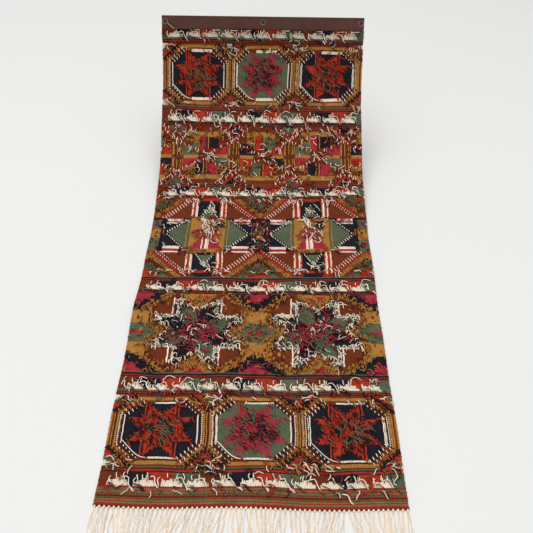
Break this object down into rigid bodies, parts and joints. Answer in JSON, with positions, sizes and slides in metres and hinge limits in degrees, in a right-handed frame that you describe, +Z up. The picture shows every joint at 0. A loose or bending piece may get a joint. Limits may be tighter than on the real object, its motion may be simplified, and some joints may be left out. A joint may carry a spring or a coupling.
{
  "type": "woven wall tapestry",
  "caption": "Long narrow woven wool wall tapestry, hung by its top edge and swung forward onto the surface in front, with heading tape, small sewn rings and a fringe.",
  "frame": {"origin": "middle of the cloth's top edge, at its back face", "axes": "+X to the viewer's right, +Y back towards the wall, +Z up"},
  "size_m": [0.5081, 1.2309, 0.3345],
  "materials": {
    "woven_wool": "matt tapestry weave in rust, red, rose, gold, green, navy and cream wool",
    "brown_tape": "plain matt woven tape",
    "ring_wire": "satin wire",
    "warp_yarn": "twisted cream yarn"
  },
  "bodies": {
    "root": {"woven_panel": "woven_wool", "heading_tape": "brown_tape", "ring_left": "ring_wire", "ring_centre": "ring_wire", "ring_right": "ring_wire", "fringe": "warp_yarn"}
  },
  "joints": []
}
